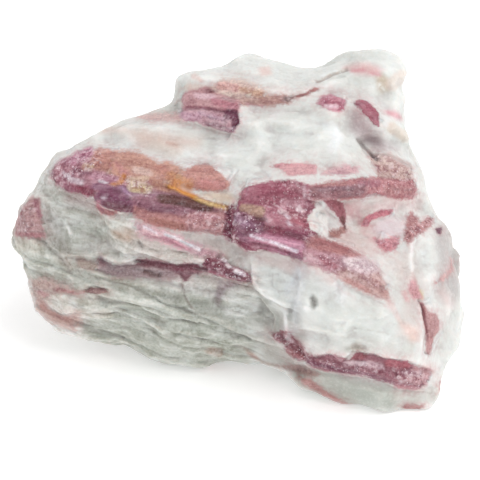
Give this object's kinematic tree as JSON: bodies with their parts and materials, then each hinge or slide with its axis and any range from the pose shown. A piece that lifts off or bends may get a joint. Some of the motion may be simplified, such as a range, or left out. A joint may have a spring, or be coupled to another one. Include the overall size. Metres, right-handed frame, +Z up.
{
  "type": "rubellite specimen",
  "caption": "Hand-size lump of white feldspar and quartz crossed by bands of pink and purple tourmaline crystals, cut flat underneath so that it rests.",
  "frame": {"origin": "bottom centre of the whole stone's box, on the cut face that it rests on", "axes": "+X along the stone's length, to the right of its show face; +Z up; the show face leans back and looks towards -Y and +Z"},
  "size_m": [0.0914, 0.0632, 0.0527],
  "materials": {
    "feldspar": "rough, sugary break with cleaved faces",
    "rose_tourmaline": "glassy and striated, with granular breaks",
    "purple_tourmaline": "glassy and striated, dark",
    "salmon_tourmaline": "dull, granular"
  },
  "bodies": {
    "root": {"matrix": "feldspar", "centre_crystals": "rose_tourmaline", "left_crystals": "purple_tourmaline", "upper_crystals": "rose_tourmaline", "salmon_crystals": "salmon_tourmaline", "salmon_lobe_crystal": "salmon_tourmaline", "salmon_band": "salmon_tourmaline", "right_crystal": "rose_tourmaline", "right_upper_crystal": "rose_tourmaline", "right_small_crystals": "rose_tourmaline", "right_low_crystal": "rose_tourmaline", "right_edge_crystal": "rose_tourmaline", "glint_crystal": "rose_tourmaline", "ledge_crystals": "rose_tourmaline", "lower_crystals": "rose_tourmaline", "side_crystal": "rose_tourmaline", "left_tip_crystal": "rose_tourmaline", "lower_left_crystals": "salmon_tourmaline", "top_crystal": "rose_tourmaline", "top_right_crystal": "rose_tourmaline", "back_upper_crystals": "rose_tourmaline", "back_right_crystals": "rose_tourmaline", "back_middle_crystals": "rose_tourmaline", "back_left_crystal": "rose_tourmaline", "back_low_crystal": "rose_tourmaline"}
  },
  "joints": []
}
